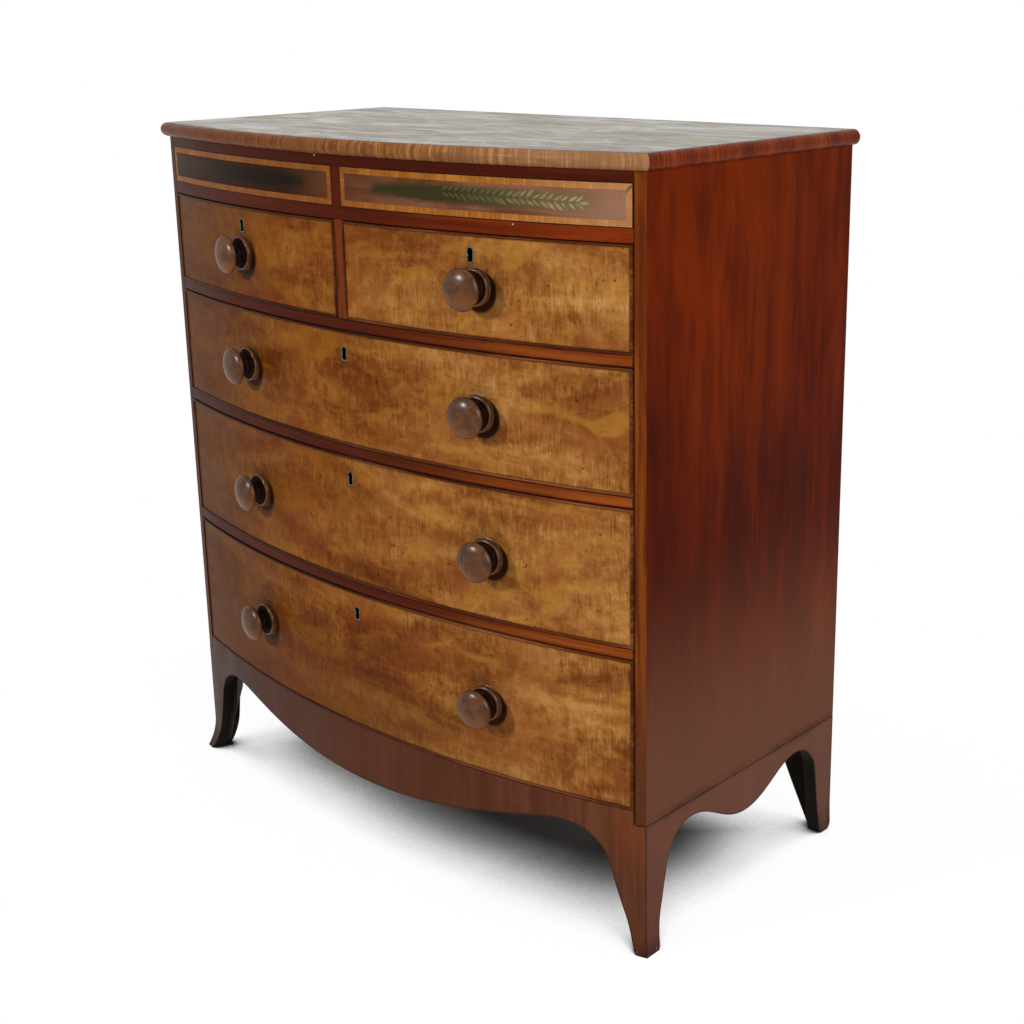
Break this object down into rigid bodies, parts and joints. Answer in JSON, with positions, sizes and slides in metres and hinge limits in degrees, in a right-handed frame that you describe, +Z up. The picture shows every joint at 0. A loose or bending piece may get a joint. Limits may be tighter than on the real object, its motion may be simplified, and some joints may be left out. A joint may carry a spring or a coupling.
{
  "type": "bow front chest of drawers",
  "caption": "Bow front chest of drawers with a banded frieze, turned knobs, short drawers above long ones and splayed bracket feet.",
  "frame": {"origin": "on the floor, in the middle of the object's box, knobs included", "axes": "+X to the right as one faces the drawers, +Y to the back, +Z up; the drawers open towards -Y"},
  "size_m": [0.962, 0.5298, 1.0379],
  "materials": {
    "mahogany_top": "polished mahogany, faded and stained on top",
    "mahogany_side": "polished red mahogany, straight grain",
    "mahogany_rail": "polished dark red mahogany",
    "mahogany_front": "polished figured mahogany veneer, golden brown",
    "mahogany_base": "polished brown mahogany, worn at the feet",
    "mahogany_knob": "turned and polished dark mahogany",
    "frieze_veneer": "satinwood banded veneer with a painted leaf spray",
    "softwood": "plain planed pine, dry",
    "brass": "aged brass"
  },
  "bodies": {
    "case": {"top_board": "mahogany_top", "side_left": "mahogany_side", "side_right": "mahogany_side", "back_panel": "softwood", "bottom_board": "softwood", "drawer_divider": "mahogany_rail", "rail_upper": "mahogany_rail", "rail_middle": "mahogany_rail", "rail_lower": "mahogany_rail", "dustboard_upper": "softwood", "dustboard_middle": "softwood", "dustboard_lower": "softwood", "frieze_frame": "mahogany_rail", "frieze_panel_left": "frieze_veneer", "frieze_panel_right": "frieze_veneer", "apron": "mahogany_base", "side_skirt_left": "mahogany_base", "side_skirt_right": "mahogany_base", "foot_front_left": "mahogany_base", "foot_front_right": "mahogany_base", "foot_back_left": "mahogany_base", "foot_back_right": "mahogany_base"},
    "short_left_drawer": {"short_left_front": "mahogany_front", "short_left_side_left": "softwood", "short_left_side_right": "softwood", "short_left_bottom": "softwood", "short_left_back": "softwood", "short_left_lock": "brass", "short_left_knob": "mahogany_knob"},
    "short_right_drawer": {"short_right_front": "mahogany_front", "short_right_side_left": "softwood", "short_right_side_right": "softwood", "short_right_bottom": "softwood", "short_right_back": "softwood", "short_right_lock": "brass", "short_right_knob": "mahogany_knob"},
    "upper_drawer": {"upper_front": "mahogany_front", "upper_side_left": "softwood", "upper_side_right": "softwood", "upper_bottom": "softwood", "upper_back": "softwood", "upper_lock": "brass", "upper_knob_left": "mahogany_knob", "upper_knob_right": "mahogany_knob"},
    "middle_drawer": {"middle_front": "mahogany_front", "middle_side_left": "softwood", "middle_side_right": "softwood", "middle_bottom": "softwood", "middle_back": "softwood", "middle_lock": "brass", "middle_knob_left": "mahogany_knob", "middle_knob_right": "mahogany_knob"},
    "lower_drawer": {"lower_front": "mahogany_front", "lower_side_left": "softwood", "lower_side_right": "softwood", "lower_bottom": "softwood", "lower_back": "softwood", "lower_lock": "brass", "lower_knob_left": "mahogany_knob", "lower_knob_right": "mahogany_knob"}
  },
  "joints": [
    {"name": "short_left_drawer_slide", "type": "slide", "parent": "case", "child": "short_left_drawer", "axis": [0, -1, 0], "range_m": [0, 0.3]},
    {"name": "short_right_drawer_slide", "type": "slide", "parent": "case", "child": "short_right_drawer", "axis": [0, -1, 0], "range_m": [0, 0.3]},
    {"name": "upper_drawer_slide", "type": "slide", "parent": "case", "child": "upper_drawer", "axis": [0, -1, 0], "range_m": [0, 0.3]},
    {"name": "middle_drawer_slide", "type": "slide", "parent": "case", "child": "middle_drawer", "axis": [0, -1, 0], "range_m": [0, 0.3]},
    {"name": "lower_drawer_slide", "type": "slide", "parent": "case", "child": "lower_drawer", "axis": [0, -1, 0], "range_m": [0, 0.3]}
  ]
}
